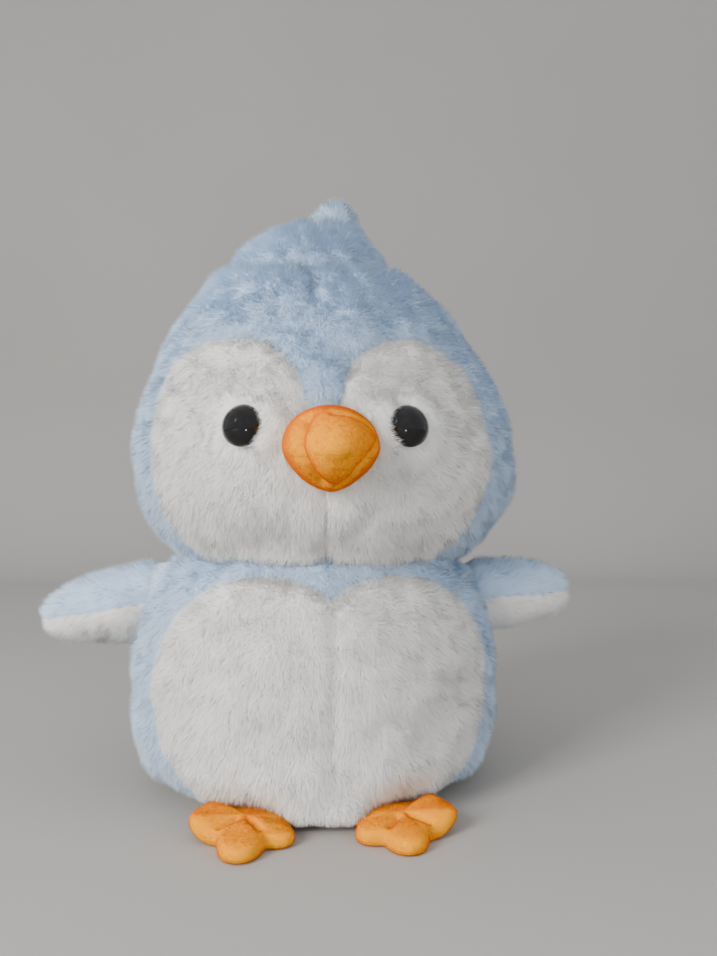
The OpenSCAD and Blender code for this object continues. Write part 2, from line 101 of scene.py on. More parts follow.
# The turns of a lobe's middle, from there to its edges, and of the cheek's edge at the neck
LOBE_TURN, LOBE_SPAN, CHEEK_TURN = 31, 25, 52
BELLY_TOP_Z = 115.5 * MM
BELLY_WIDE_Z = 58 * MM
BELLY_NOTCH_Z = 103 * MM
BELLY_LOW_H = 72 * MM
# The turns of the top of the belly's lobes, and of its edge at its widest
BELLY_LOBE_TURN, BELLY_TURN = 24, 62
BASE_RIM_Z = 9 * MM
BACK_TURN = 110
EYE_TURN = 21.5
EYE_Z = 187 * MM

# The cloth lies this far inside the frame's surface, and the pile stands on it.
PILE = 3.2 * MM


def mixed(a, b, t):
    return a + (b - a) * t


def smooth(t):
    t = np.clip(t, 0, 1)
    return t * t * (3 - 2 * t)


def rising(value, start, span):
    """0 up to start, and 1 from start + span on."""
    return smooth((value - start) / span)


def stack(t, power):
    """How wide a round shape is at height t, where 0 is its widest level and 1 its top."""
    return np.clip(1 - np.abs(t) ** power, 0, None) ** (1 / power)


def unit(vectors):
    return vectors / np.maximum(np.linalg.norm(vectors, axis=-1, keepdims=True), 1e-12)


def along_surface(vectors, normals):
    return vectors - normals * (normals * vectors).sum(1, keepdims=True)


def ripple(points, wavelength, seed, waves=12):
    """Smooth noise of about that wavelength, mostly between -1 and 1: a sum of plane waves."""
    rng = np.random.default_rng(seed)
    pace = 2 * math.pi / (wavelength * rng.uniform(0.7, 1.4, (waves, 1)))
    ways = unit(rng.normal(size=(waves, 3))) * pace
    return np.sin(points @ ways.T + rng.uniform(0, 2 * math.pi, waves)).sum(1) * (0.9 / math.sqrt(waves))


def ripple_vector(points, wavelength, seed):
    return np.stack([ripple(points, wavelength, seed + k) for k in range(3)], axis=1)


def turned(points, angle):
    c, s = math.cos(angle), math.sin(angle)
    return points @ np.array([(c, s, 0), (-s, c, 0), (0, 0, 1)])


# ---- The head's and the body's surfaces, and the lines that their panels are sewn along ----


def ring_points(phi, half_w, half_d, inset):
    """Points on ellipses round the Z axis, at turns phi from the front, moved in by inset."""
    across, ahead = half_w * np.sin(phi), half_d * np.cos(phi)
    kept = np.maximum(0.05, 1 - inset / np.maximum(np.hypot(across, ahead), 1e-6))
    return across * kept, -ahead * kept


def size_at(z, widest, top_h, top_power, low_h, low_power):
    above = stack(np.clip(z - widest, 0, None) / top_h, top_power)
    below = stack(np.clip(widest - z, 0, None) / low_h, low_power)
    return np.where(z > widest, above, below)


def head_size(z):
    return size_at(z, HEAD_MID_Z, DOME_H, DOME_POWER, JOWL_H, JOWL_POWER)


def head_middle(z):
    return HEAD_X - HEAD_LEAN * (np.clip(z - HEAD_MID_Z, 0, None) / DOME_H) ** 1.5


def head_point(turn, z, inset=0.0):
    turn, z = np.broadcast_arrays(turn, z)
    size = head_size(z)
    x, y = ring_points(np.radians(turn), size * HEAD_W / 2, size * HEAD_D / 2, inset)
    return np.stack([head_middle(z) + x, y, z - inset * (z - HEAD_MID_Z) / DOME_H], axis=-1)


def body_size(z):
    return size_at(z, BODY_MID_Z, SHOULDER_H, SHOULDER_POWER, HIP_H, HIP_POWER)


def body_point(turn, z, inset=0.0):
    turn, z = np.broadcast_arrays(turn, z)
    size = body_size(z)
    x, y = ring_points(np.radians(turn), size * BODY_W / 2, size * BODY_D / 2, inset)
    return turned(np.stack([x, y, z], axis=-1), BODY_TURN)


def crease_point(turn, inset=0.0):
    x, y = ring_points(np.radians(turn), CREASE_W / 2, CREASE_W / 2 * BODY_D / BODY_W, inset)
    return np.stack([HEAD_X / 2 + x, y, NECK_Z + 0 * x], axis=-1)


def crest_seam(turn):
    return (CREST_SEAM_Z - CREST_SEAM_DIP * np.cos(np.radians(turn))) * MM


def share_up(z, low, high):
    return np.clip((z - low) / (high - low), 0, 1)


def lobe_span(z):
    return LOBE_SPAN * stack(np.clip((z - FACE_LOBE_Z) / FACE_LOBE_H, 0, 1), 2)


def face_inner(z):
    bridge = (LOBE_TURN - LOBE_SPAN) * share_up(z, BRIDGE_LOW_Z, FACE_LOBE_Z)
    return np.where(z > FACE_LOBE_Z, LOBE_TURN - lobe_span(z), bridge)


def face_outer(z):
    cheek = mixed(CHEEK_TURN, LOBE_TURN + LOBE_SPAN, (z - NECK_HIGH_Z) / (FACE_LOBE_Z - NECK_HIGH_Z))
    return np.where(z > FACE_LOBE_Z, LOBE_TURN + lobe_span(z), cheek)


def belly_inner(z):
    return BELLY_LOBE_TURN * (1 - stack(share_up(z, BELLY_NOTCH_Z, BELLY_TOP_Z), 2))


def belly_outer(z):
    above = mixed(BELLY_LOBE_TURN, BELLY_TURN, stack(share_up(z, BELLY_WIDE_Z, BELLY_TOP_Z), 2.3))
    below = BELLY_TURN * stack(np.clip((BELLY_WIDE_Z - z) / BELLY_LOW_H, 0, 1), 1.8)
    return np.where(z > BELLY_WIDE_Z, above, below)


def head_place(points):
    """The turn and the height on the frame's surface that each point of the head's skin belongs to."""
    k = PILE / DOME_H
    z = (points[:, 2] - k * HEAD_MID_Z) / (1 - k)
    across, ahead = points[:, 0] - head_middle(z), -points[:, 1]
    return np.degrees(np.arctan2(across / HEAD_W, ahead / HEAD_D)), z


def body_place(points):
    p = turned(points, -BODY_TURN)
    return np.degrees(np.arctan2(p[:, 0] / BODY_W, -p[:, 1] / BODY_D)), points[:, 2]


HEAD_PANELS = ["face_left", "face_right", "head_side_left", "head_side_right", "head_back_left",
               "head_back_right", "crest_front", "crest_back"]
BODY_PANELS = ["belly_left", "belly_right", "body_side_left", "body_side_right", "body_back_left",
               "body_back_right", "base_panel"]


def upright_panel(turn, z, top, inner, outer):
    """The index of an upright panel: white, a side or a back, each with its left one first."""
    away = np.abs(turn)
    white = (z < top) & (away > inner) & (away < outer)
    return np.where(white, 0, np.where(away > BACK_TURN, 4, 2)) + (turn > 0)


def head_panel(points):
    """The index in HEAD_PANELS of the panel that each point is on."""
    turn, z = head_place(points)
    kind = upright_panel(turn, z, FACE_TOP_Z, face_inner(z), face_outer(z) + LEFT_CHEEK * (turn < 0))
    return np.where(z > crest_seam(turn), np.where(np.abs(turn) < 90, 6, 7), kind)


def body_panel(points):
    turn, z = body_place(points)
    kind = upright_panel(turn, z, BELLY_TOP_Z, belly_inner(z), belly_outer(z))
    return np.where(z < BASE_RIM_Z, 6, kind)


def seam(point_of, turns, heights, depth, width=4.0):
    """A sewn line on a surface: its points, and how deep and wide it pulls the cloth in, in millimetres."""
    turns, heights = np.broadcast_arrays(np.asarray(turns, float), np.asarray(heights, float))
    return point_of(turns, heights, PILE), depth * MM, width * MM


def panel_seams(point_of, inner, outer, low, high, centre, crown, wider):
    """The seams round a pair of white lobes, down the middle, and down the back."""
    z = low + (high - low) * np.sin(np.linspace(0, math.pi / 2, 90))
    seams = [seam(point_of, side * inner(z), z, 2.0) for side in (LEFT, RIGHT)]
    seams.append(seam(point_of, -outer(z) - wider, z, 2.4))
    seams.append(seam(point_of, outer(z), z, 2.4))
    seams.append(seam(point_of, 0, np.linspace(low, centre, 60), 0.5))
    for turn in (-BACK_TURN, BACK_TURN, 180):
        seams.append(seam(point_of, turn, np.linspace(low, crown(turn), 80), 2.0))
    return seams


ALL_ROUND = np.linspace(-180, 180, 200)
HEAD_SEAMS = panel_seams(head_point, face_inner, face_outer, NECK_Z, FACE_TOP_Z, BRIDGE_LOW_Z, crest_seam,
                         LEFT_CHEEK)
HEAD_SEAMS.append(seam(head_point, ALL_ROUND, crest_seam(ALL_ROUND), 4.5, 5))
# The seam between the blue sides, under the crest
HEAD_SEAMS.append(seam(head_point, 0, np.linspace(255, 277, 20) * MM, 2.5))
BODY_SEAMS = panel_seams(body_point, belly_inner, belly_outer, BASE_RIM_Z, BELLY_TOP_Z, BELLY_NOTCH_Z,
                         lambda turn: NECK_LOW_Z, 0)
BODY_SEAMS.append(seam(body_point, ALL_ROUND, BASE_RIM_Z, 2.0))


def tree_of(points):
    tree = KDTree(len(points))
    for k, point in enumerate(points):
        tree.insert(point, k)
    tree.balance()
    return tree


def distance_to(points, line):
    """How far each point is from the nearest of a line of points."""
    tree = tree_of(line)
    return np.array([tree.find(point)[2] for point in points])


# ---- Meshes ----


def new_object(name, points, loops, starts, paint=None, materials=()):
    """A mesh object from flat arrays: corner vertices, where each face starts, and each face's material."""
    mesh = bpy.data.meshes.new(name)
    mesh.vertices.add(len(points))
    mesh.vertices.foreach_set("co", np.ascontiguousarray(points, np.float32).ravel())
    mesh.loops.add(len(loops))
    mesh.loops.foreach_set("vertex_index", np.ascontiguousarray(loops, np.int32))
    mesh.polygons.add(len(starts))
    mesh.polygons.foreach_set("loop_start", np.ascontiguousarray(starts, np.int32))
    mesh.polygons.foreach_set("use_smooth", np.ones(len(starts), bool))
    for material in materials:
        mesh.materials.append(material)
    if paint is not None:
        mesh.polygons.foreach_set("material_index", np.ascontiguousarray(paint, np.int32))
    mesh.update(calc_edges=True)
    made = bpy.data.objects.new(name, mesh)
    bpy.context.scene.collection.objects.link(made)
    return made


def grid_mesh(name, rows, capped=True):
    """A mesh through rings of points, with a fan over each end if it is capped."""
    rows = np.asarray(rows)
    count, around = rows.shape[:2]
    points = rows.reshape(-1, 3)
    i, j = np.meshgrid(np.arange(count - 1), np.arange(around), indexing="ij")
    k = (j + 1) % around
    quads = np.stack([i * around + j, i * around + k, (i + 1) * around + k, (i + 1) * around + j], -1)
    a, b, c, d = (points[quads[..., corner]] for corner in range(4))
    inward = (np.cross(c - a, d - b) * ((a + c) / 2 - points.mean(0))).sum() < 0
    if not capped:
        quads = quads[..., ::-1] if inward else quads
        return new_object(name, points, quads.ravel(), np.arange((count - 1) * around) * 4)
    points = np.concatenate([points, rows[0].mean(0)[None], rows[-1].mean(0)[None]])
    j = np.arange(around)
    k = (j + 1) % around
    last = (count - 1) * around
    low = np.stack([np.full(around, count * around), k, j], -1)
    high = np.stack([np.full(around, count * around + 1), last + j, last + k], -1)
    if inward:
        quads, low, high = quads[..., ::-1], low[..., ::-1], high[..., ::-1]
    loops = np.concatenate([quads.reshape(-1), low.reshape(-1), high.reshape(-1)])
    sizes = np.concatenate([np.full(last, 4), np.full(2 * around, 3)])
    return new_object(name, points, loops, np.concatenate([[0], np.cumsum(sizes)[:-1]]))


def coordinates(mesh):
    points = np.empty(len(mesh.vertices) * 3)
    mesh.vertices.foreach_get("co", points)
    return points.reshape(-1, 3)


class Skin:
    """A fine quad mesh of a stuffed part, as arrays, with a normal at each point."""

    def __init__(self, rough):
        rough.modifiers.new("fine", "SUBSURF").levels = 1
        done = rough.evaluated_get(bpy.context.evaluated_depsgraph_get()).to_mesh()
        self.points = coordinates(done)
        self.quads = np.empty(len(done.loops), np.int32)
        done.loops.foreach_get("vertex_index", self.quads)
        self.quads = self.quads.reshape(-1, 4)
        bpy.data.objects.remove(rough)
        self.find_normals()

    def find_normals(self):
        a, b, c, d = (self.points[self.quads[:, k]] for k in range(4))
        faces = np.cross(c - a, d - b)
        self.normals = np.zeros_like(self.points)
        for k in range(4):
            np.add.at(self.normals, self.quads[:, k], faces)
        self.normals = unit(self.normals)

    def push(self, amount):
        """Moves every point out along its normal."""
        self.points = self.points + self.normals * amount[:, None]
        self.find_normals()

    def centres(self):
        return self.points[self.quads].mean(1)


def cloth_piece(name, skin, faces, materials, thick):
    """The faces of a skin as one panel of cloth, thickened inwards."""
    used, corners = np.unique(skin.quads[faces], return_inverse=True)
    made = new_object(name, skin.points[used], corners.ravel(), np.arange(len(faces)) * 4, None, materials)
    solid = made.modifiers.new("cloth", "SOLIDIFY")
    solid.thickness = thick
    solid.offset = -1
    return made


# ---- Stuffing: the cloth is simulated under pressure, held along its seams ----

FRAMES = 20
PRESSURE = 4
HOLD = 6 * MM


def make_soft(rough, held):
    """Puts cloth physics on a part, pinned near the held points."""
    near = distance_to(coordinates(rough.data), held) < HOLD
    pins = rough.vertex_groups.new(name="pins")
    pins.add([int(k) for k in np.nonzero(near)[0]], 1.0, "REPLACE")
    cloth = rough.modifiers.new("stuffing", "CLOTH")
    cloth.settings.vertex_group_mass = "pins"
    cloth.settings.quality = 4
    cloth.settings.use_pressure = True
    cloth.settings.uniform_pressure_force = PRESSURE
    cloth.settings.effector_weights.gravity = 0
    cloth.collision_settings.use_collision = False
    cloth.point_cache.frame_end = FRAMES


def fill(parts):
    """Runs the cloth of every (mesh, held points, cap), and keeps each point's movement under the cap."""
    for rough, held, cap in parts:
        make_soft(rough, held)
    scene = bpy.context.scene
    for step in range(1, FRAMES + 1):
        scene.frame_set(step)
    graph = bpy.context.evaluated_depsgraph_get()
    for rough, held, cap in parts:
        before = coordinates(rough.data)
        move = coordinates(rough.evaluated_get(graph).to_mesh()) - before
        far = np.maximum(np.linalg.norm(move, axis=1, keepdims=True), 1e-9)
        after = before + move / far * cap * np.tanh(far / cap)
        rough.modifiers.clear()
        rough.data.vertices.foreach_set("co", after.astype(np.float32).ravel())
        rough.data.update()
    scene.frame_set(1)


# ---- Materials ----


def principled(name, color, **values):
    material = bpy.data.materials.new(name)
    material.use_nodes = True
    shader = material.node_tree.nodes["Principled BSDF"]
    shader.inputs["Base Color"].default_value = (*color, 1)
    for key, value in values.items():
        shader.inputs[key].default_value = value
    return material


def add_noise(material, scale, detail=4.0):
    nodes, links = material.node_tree.nodes, material.node_tree.links
    place = nodes.new("ShaderNodeTexCoord")
    noise = nodes.new("ShaderNodeTexNoise")
    noise.inputs["Scale"].default_value = scale
    noise.inputs["Detail"].default_value = detail
    links.new(place.outputs["Object"], noise.inputs["Vector"])
    return noise.outputs["Fac"]


def color_by(material, source, stops):
    """Colours the shader by a node's value, through stops of (value, colour)."""
    nodes, links = material.node_tree.nodes, material.node_tree.links
    ramp = nodes.new("ShaderNodeValToRGB")
    links.new(source, ramp.inputs["Fac"])
    for element, (position, color) in zip(ramp.color_ramp.elements, (stops[0], stops[-1])):
        element.position = position
        element.color = (*color, 1)
    for position, color in stops[1:-1]:
        ramp.color_ramp.elements.new(position).color = (*color, 1)
    links.new(ramp.outputs["Color"], nodes["Principled BSDF"].inputs["Base Color"])


def add_bump(material, sources, distance):
    """Chains a bump for each (height, strength) onto the shader's normal."""
    nodes, links = material.node_tree.nodes, material.node_tree.links
    last = None
    for height, strength in sources:
        bump = nodes.new("ShaderNodeBump")
        bump.inputs["Strength"].default_value = strength
        bump.inputs["Distance"].default_value = distance
        links.new(height, bump.inputs["Height"])
        if last is not None:
            links.new(last, bump.inputs["Normal"])
        last = bump.outputs["Normal"]
    links.new(last, nodes["Principled BSDF"].inputs["Normal"])


def tinted(color, factor):
    return tuple(min(1.0, c * factor) for c in color)


def pile_cloth(name, color):
    """The backing of the fur, and the short pile close to it: mottled, with soft lumps."""
    material = principled(name, color, **{"Roughness": 0.95, "Sheen Weight": 0.5, "Sheen Roughness": 0.6})
    stops = [(0.3, tinted(color, 0.88)), (0.5, color), (0.75, tinted(color, 1.03))]
    color_by(material, add_noise(material, 160), stops)
    add_bump(material, [(add_noise(material, 90, 2), 0.5), (add_noise(material, 600, 6), 0.8)], 1.5 * MM)
    return material


def pile_shades(name, color, deep, sheen):
    """Plain shades for the strands: first the deep one, a painted shade for strands cut short in seams and folds,
    then from dark to light.
    """
    looks = {"Roughness": 0.9, "Sheen Weight": sheen, "Sheen Roughness": 0.5, "Specular IOR Level": 0.1}
    colors = [deep] + [tinted(color, factor) for factor in (0.96, 0.98, 1.0, 1.02)]
    return [principled(f"{name}_{k}", shade, **looks) for k, shade in enumerate(colors)]


def velboa(name, color, dark):
    """Short velvet pile: its colour is painted darker in random patches, a painted shade for the way the nap
    catches the light.
    """
    material = principled(name, color, **{"Roughness": 0.85, "Specular IOR Level": 0.15})
    color_by(material, add_noise(material, 60, 2), [(0.32, dark), (0.52, color), (0.8, color)])
    add_bump(material, [(add_noise(material, 120, 2), 0.25), (add_noise(material, 1500, 4), 0.4)], 0.8 * MM)
    return material


def eye_plastic():
    material = principled("eye_plastic", (0.006, 0.006, 0.007),
                          **{"Roughness": 0.08, "IOR": 1.4, "Specular IOR Level": 0.5})
    stops = [(0.3, (0.004, 0.004, 0.005)), (0.8, (0.012, 0.011, 0.011))]
    color_by(material, add_noise(material, 300), stops)
    return material


def washer_plastic():
    color = (0.7, 0.7, 0.68)
    material = principled("washer_plastic", color, **{"Roughness": 0.45})
    color_by(material, add_noise(material, 400), [(0.3, tinted(color, 0.9)), (0.8, color)])
    add_bump(material, [(add_noise(material, 900), 0.2)], 0.2 * MM)
    return material


BLUE = (0.61, 0.76, 0.94)
WHITE = (0.97, 0.955, 0.93)
ORANGE = (1.0, 0.43, 0.0)
# The velvet's darker patches: a painted nap shade
ORANGE_PAINTED_NAP_SHADE = (1.0, 0.37, 0.0)
# A painted shade, darker and redder, for the nap in the beak's and the feet's folds
ORANGE_PAINTED_SHADE = (1.0, 0.30, 0.0)
CLOTHS = {
    "fur_blue": pile_cloth("cloth_blue", BLUE),
    "fur_white": pile_cloth("cloth_white", WHITE),
    "velboa_orange": velboa("cloth_orange", ORANGE, ORANGE_PAINTED_NAP_SHADE),
}
# The first shade of each pile is a darker painted shade, for strands cut short in seams, folds and other tight
# places
SHADES = {
    "fur_blue": pile_shades("pile_blue", BLUE, tinted(BLUE, 0.8), 0.3),
    "fur_white": pile_shades("pile_white", WHITE, tinted(WHITE, 0.82), 0.3),
    "velboa_orange": pile_shades("pile_orange", ORANGE, ORANGE_PAINTED_SHADE, 0.0),
}
SLOTS = {part["node"]: part["material_slot"] for part in frame["record"]["subparts"]}

# ---- Pile: tapered strands, rooted on the cloth ----


def root_places(skin, per_m2, seed):
    """Random places on a skin, evenly spread by area: the face, and the share of each corner."""
    rng = np.random.default_rng(seed)
    a, b, c, d = (skin.points[skin.quads[:, k]] for k in range(4))
    area = np.linalg.norm(np.cross(c - a, d - b), axis=1) / 2
    count = int(area.sum() * per_m2)
    face = np.searchsorted(np.cumsum(area) / area.sum(), rng.random(count)).clip(0, len(area) - 1)
    u, v = rng.random((2, count))
    return face, np.stack([(1 - u) * (1 - v), u * (1 - v), u * v, (1 - u) * v], axis=1)


def tuft_centres(roots, spacing, seed):
    """For each root, the nearest of a random choice of roots about that far apart."""
    rng = np.random.default_rng(seed)
    wide, deep, high = roots.max(0) - roots.min(0)
    wanted = int(2.2 * (wide * deep + deep * high) / spacing ** 2)
    count = max(8, min(len(roots) // 4, wanted))
    chosen = roots[rng.choice(len(roots), count, replace=False)]
    tree = tree_of(chosen)
    nearest = np.array([tree.find(point)[1] for point in roots])
    return chosen[nearest], nearest


# How much the comb, the sway and chance bend a strand
COMBED, SWAYING, FRIZZY = 0.7, 0.2, 0.14
# The share of the strands that stand up twice as straight
STRAY_SHARE = 0.15
# A strand cut below this share of its length takes the first shade, a darker painted shade, as in the seams and
# folds
PAINTED_SHADE_SHARE = 0.78


def rooted(skin, look, seed, comb, keep):
    """Each strand's place, normal, lean, sway and mottle as a row, and its share of length."""
    face, share = root_places(skin, look["density"], seed)
    lean = along_surface(comb(skin.points), skin.normals)
    tuft = look["tuft"]
    sway = ripple_vector(skin.points, 3.5 * tuft, seed + 2)
    sway = along_surface(sway + 0.8 * ripple_vector(skin.points, 1.6 * tuft, seed + 5), skin.normals)
    mottle = ripple(skin.points, 5 * tuft, seed + 8)
    fields = np.concatenate([skin.points, skin.normals, lean, sway, mottle[:, None]], axis=1)
    fields = (fields[skin.quads[face]] * share[..., None]).sum(1)
    factor = keep(fields[:, :3])
    grows = factor > 0.05
    return fields[grows], factor[grows]


class Pile:
    """Strands over a whole skin: where each is rooted, its tip, and the way that it shades."""

    def __init__(self, skin, look, seed, comb, keep):
        fields, factor = rooted(skin, look, seed, comb, keep)
        self.roots, normals, lean, sway = (fields[:, 3 * k:3 * k + 3] for k in range(4))
        mottle = fields[:, 12]
        normals = unit(normals)
        rng = np.random.default_rng(seed + 1)
        frizz = rng.normal(size=self.roots.shape)
        upright = look["upright"] * np.where(rng.random(len(factor)) < STRAY_SHARE, 2.0, 1.0)
        way = unit(upright[:, None] * normals + COMBED * lean + SWAYING * sway + FRIZZY * frizz)
        reach = look["length"] * factor * rng.uniform(0.75, 1.15, len(factor))
        centre, tufts = tuft_centres(self.roots, look["tuft"], seed + 3)
        pull = along_surface((centre - self.roots) * look["clump"], normals)
        self.tips = self.roots + way * reach[:, None] + pull
        along = unit(self.tips - self.roots)
        across = unit(np.cross(along, normals) + 0.3 * frizz)
        self.across = across * look["width"] / 2
        self.shading = unit(normals + 0.1 * np.cross(across, along))
        tone = 0.5 + 0.22 * mottle + 0.2 * (rng.random(tufts.max() + 1)[tufts] - 0.5)
        tone = np.clip((tone + 0.3 * (rng.random(len(factor)) - 0.5)) * 4, 0, 3).astype(int)
        # Strands cut short get the painted shade; the rest get random tones
        self.shade = np.where(factor < PAINTED_SHADE_SHARE, 0, 1 + tone)

    def object(self, name, chosen, shades, floor):
        """The chosen strands as one mesh of triangles, none of them below the floor."""
        root, tip, across = self.roots[chosen], self.tips[chosen], self.across[chosen]
        points = np.stack([root - across, root + across, tip], axis=1).reshape(-1, 3)
        points[:, 2] = np.maximum(points[:, 2], floor)
        loops = np.arange(len(points))
        made = new_object(name, points, loops, loops[::3], self.shade[chosen], shades)
        shading = np.repeat(self.shading[chosen], 3, axis=0).astype(np.float32)
        normals = made.data.attributes.new("custom_normal", "FLOAT_VECTOR", "POINT")
        normals.data.foreach_set("vector", shading.ravel())
        return made


# ---- Rings of points for each stuffed part ----

AROUND = 120
TURNS = np.linspace(-180, 180, AROUND, endpoint=False)


def curve_through(keys, per_gap):
    """Rows on a smooth curve through key rows: a Catmull-Rom spline."""
    rows = []
    for k in range(1, len(keys) - 2):
        a, b, c, d = keys[k - 1:k + 3]
        for step in range(per_gap):
            t = step / per_gap
            rows.append(0.5 * (2 * b + (c - a) * t + (2 * a - 5 * b + 4 * c - d) * t * t
                               + (3 * b - a - 3 * c + d) * t ** 3))
    rows.append(keys[-2])
    return rows


CREST_INSET = PILE * 0.8


def head_rows():
    cap = [crease_point(TURNS, CREASE_W * share) for share in (0.32, 0.16)]
    crease = crease_point(TURNS, PILE)
    neck = [crease, mixed(crease, head_point(TURNS, NECK_HIGH_Z, PILE), 0.45)]
    levels = [mixed(NECK_HIGH_Z, crest_seam(TURNS), t) for t in np.linspace(0, 1, 33)]
    dome = [head_point(TURNS, z, PILE) for z in levels]
    crest = []
    for z, middle, half in np.array(CREST) * MM:
        x, y = ring_points(np.radians(TURNS), half, half * CREST_ROUNDNESS, CREST_INSET)
        crest.append(np.stack([HEAD_X + middle + x, y, np.full(AROUND, z - CREST_INSET)], axis=-1))
    keys = dome[-2:] + crest + [2 * crest[-1] - crest[-2]]
    return cap + neck + dome[:-1] + curve_through(keys, 3)


# The middle of the gap between the feet, and how far the belly sags into it and over the feet
GAP_X = 5 * MM
SLUMP = 18 * MM
OVERHANG = 4 * MM
# The middle of the base, and the lowest that the body's cloth may be
BASE_LIFT = 2.2 * MM
BASE_LOW = 0.4 * MM


def slumped(points):
    """Sags the belly's low front onto the ground between the feet, and a little over them."""
    aside = np.abs(points[:, 0] - GAP_X)
    z = points[:, 2]
    front = rising(-points[:, 1], 30 * MM, 25 * MM)
    between = 1 - rising(aside, 14 * MM, 9 * MM)
    low = 1 - rising(z, 3 * MM, 15 * MM)
    wide = 1 - rising(aside, 50 * MM, 20 * MM)
    above = rising(z, 8 * MM, 6 * MM) * (1 - rising(z, 18 * MM, 25 * MM))
    moved = points.copy()
    moved[:, 1] -= SLUMP * between * low * front
    moved[:, 1] -= OVERHANG * wide * above * front
    return moved


def body_rows():
    base = []
    for share in (0.26, 0.18, 0.1, 0.05):
        ring = body_point(TURNS, np.float64(0.0), BODY_W * share)
        base.append(ring * (1, 1, 0) + (0, 0, BASE_LIFT))
    rim = [body_point(TURNS, z * MM, PILE) for z in (2.6, 4.5, 7)]
    sides = [body_point(TURNS, z, PILE) for z in np.linspace(BASE_RIM_Z + MM, NECK_LOW_Z, 24)]
    crease = crease_point(TURNS, PILE)
    top = [mixed(sides[-1], crease, 0.6), crease]
    cap = [crease_point(TURNS, CREASE_W * share) for share in (0.16, 0.32)]
    return [slumped(row) for row in base + rim + sides + top + cap]


FLIPPER_REACH = 147 * MM
FLIPPER_CHORD = 43 * MM
FLIPPER_THICK = 42 * MM
FLIPPER_ROOT = -12 * MM
FLIPPER_SEAM_Z = 98 * MM
# How far out a flipper's fur starts, and a point further out along it
FLIPPER_START = 84 * MM
FLIPPER_FREE = 126 * MM
# How far each flipper hangs, in degrees
DROOP = {LEFT: 9, RIGHT: -3}
# The right flipper's joint, as it is drawn: straight out from the middle
PIVOT = PIVOTS["flipper_right_lift"]
SHOULDER = np.array([math.hypot(PIVOT.x, PIVOT.y), 0, PIVOT.z])


def body_half_width(y, z):
    size = body_size(z)
    return size * BODY_W / 2 * np.sqrt(np.clip(1 - (y / (size * BODY_D / 2)) ** 2, 0, None))


def tilted(points, angle):
    """Points turned down on the right, round the right flipper's joint."""
    c, s = math.cos(angle), math.sin(angle)
    return (points - SHOULDER) @ np.array([(c, 0, -s), (0, 1, 0), (s, 0, c)]) + SHOULDER


def placed_flipper(points, side):
    """Turns a flipper drawn on the right, with its root at the body's side, to where it is."""
    return turned(tilted(points, math.radians(DROOP[side])) * (side, 1, 1), BODY_TURN)


def drawn_flipper(points, side):
    """Points on a placed flipper, taken back to the right-hand drawing of it."""
    return tilted(turned(points, -BODY_TURN) * (side, 1, 1), -math.radians(DROOP[side]))


def flipper_rows(side):
    turn = np.linspace(0, 2 * math.pi, 40, endpoint=False) * side
    rows = []
    for s in np.sin(np.linspace(0, math.pi / 2, 13)):
        size = math.sqrt(max(0.01, 1 - s ** 4))
        y = -(FLIPPER_CHORD / 2 - PILE) * np.cos(turn)
        z = (FLIPPER_THICK / 2 - PILE) * np.sin(turn)
        root = body_half_width(y, SHOULDER[2] + z) + FLIPPER_ROOT
        x = mixed(root, FLIPPER_REACH - PILE, s)
        rows.append(np.stack([x, y * size, SHOULDER[2] + z * size], axis=-1))
    return placed_flipper(np.array(rows), side)


BEAK_W = 45 * MM
BEAK_Z = 177 * MM
BEAK_REACH = 33 * MM
BEAK_X = HEAD_X + 2 * MM
BEAK_UPPER_H = 19 * MM
BEAK_LOWER_H = 20 * MM
BEAK_DROOP = 3 * MM
# The beak is drawn through this many degrees, from the face to its tip
BEAK_SWEEP = 88
BEAK_SPLIT_Z = BEAK_Z - 5 * MM


def face_front(x, z):
    size = head_size(z)
    share = (x - head_middle(z)) / (size * HEAD_W / 2)
    return size * HEAD_D / 2 * np.sqrt(np.clip(1 - share ** 2, 0, None))


def power_cos(angle, power):
    """The cosine for a superellipse: at power 2 it is a circle's."""
    return np.sign(np.cos(angle)) * np.abs(np.cos(angle)) ** (2 / power)


def beak_point(angle, s):
    """A point on the beak: angle runs round it from its right corner, and s from the face to the tip."""
    up = np.sin(angle) > 0
    power = np.where(up, 2.0, 1.6)
    height = np.where(up, BEAK_UPPER_H, BEAK_LOWER_H)
    across, ahead = np.cos(np.radians(BEAK_SWEEP * s)), np.sin(np.radians(BEAK_SWEEP * s))
    x = BEAK_X + (BEAK_W / 2 - 0.5 * MM) * power_cos(angle, power) * across
    z = BEAK_Z + height * power_cos(angle - math.pi / 2, power) * across
    y = -face_front(x, z) + 2 * MM - (BEAK_REACH + MM) * ahead
    return np.stack([x, y, z - BEAK_DROOP * s * s], axis=-1)


def beak_rows():
    turn = np.linspace(0, 2 * math.pi, 64, endpoint=False)
    return [beak_point(turn, s) for s in np.linspace(0, 1, 18)]


def beak_crease(knots, depth, width):
    """A fold in the beak through (angle, share of the way out from the tip) knots."""
    steps = np.linspace(0, len(knots) - 1, 60)
    turn, out = (np.interp(steps, range(len(knots)), values) for values in np.array(knots, float).T)
    return beak_point(np.radians(turn), np.degrees(np.arccos(out)) / BEAK_SWEEP), depth * MM, width * MM


BEAK_FOLD = [(125, 0.84), (145, 0.72), (170, 0.67), (200, 0.66), (225, 0.72), (252, 0.88)]
BEAK_CREASES = [
    beak_crease(BEAK_FOLD, 6.0, 1.8),
    beak_crease(BEAK_FOLD, 3.2, 4.2),
    beak_crease([(85, 0.78), (60, 0.83), (40, 0.9), (25, 0.95)], 3.6, 1.8),
    beak_crease([(5, 0.95), (-21, 0.82), (-41, 0.78), (-75, 0.92)], 2.6, 2.2),
    beak_crease([(-95, 0.25), (-30, 0.45)], 0.6, 2.0),
]


